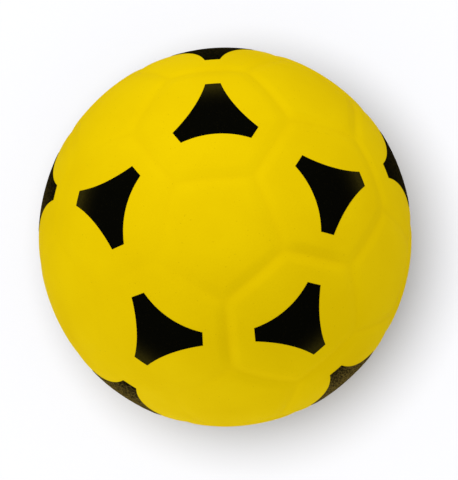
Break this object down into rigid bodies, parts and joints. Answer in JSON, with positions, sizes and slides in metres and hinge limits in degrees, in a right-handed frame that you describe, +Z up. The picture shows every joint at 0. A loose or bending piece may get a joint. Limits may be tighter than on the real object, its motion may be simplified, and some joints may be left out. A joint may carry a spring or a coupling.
{
  "type": "sponge ball",
  "caption": "Soft moulded foam football with a smooth yellow skin, panel seams pressed into it and printed black three-cornered patches, for indoor play; it rests on a small flat contact face.",
  "frame": {"origin": "middle of the flat face that the settled ball rests on, at its lowest point", "axes": "+Z up, from the rest face through the ball's middle along the mould's five-fold axis; +Y towards the first hexagon panel of the top ring (patch_top_1)"},
  "size_m": [0.2006, 0.2016, 0.1993],
  "materials": {
    "foam": "open-cell sponge, matt",
    "yellow_skin": "smooth flexible coat, matt",
    "black_print": "thin printed ink, matt to satin"
  },
  "bodies": {
    "root": {"foam_core": "foam", "skin_upper": "yellow_skin", "skin_lower": "yellow_skin", "patch_top_1": "black_print", "patch_top_2": "black_print", "patch_top_3": "black_print", "patch_top_4": "black_print", "patch_top_5": "black_print", "patch_upper_1": "black_print", "patch_upper_2": "black_print", "patch_upper_3": "black_print", "patch_upper_4": "black_print", "patch_upper_5": "black_print", "patch_lower_1": "black_print", "patch_lower_2": "black_print", "patch_lower_3": "black_print", "patch_lower_4": "black_print", "patch_lower_5": "black_print", "patch_bottom_1": "black_print", "patch_bottom_2": "black_print", "patch_bottom_3": "black_print", "patch_bottom_4": "black_print", "patch_bottom_5": "black_print"}
  },
  "joints": []
}
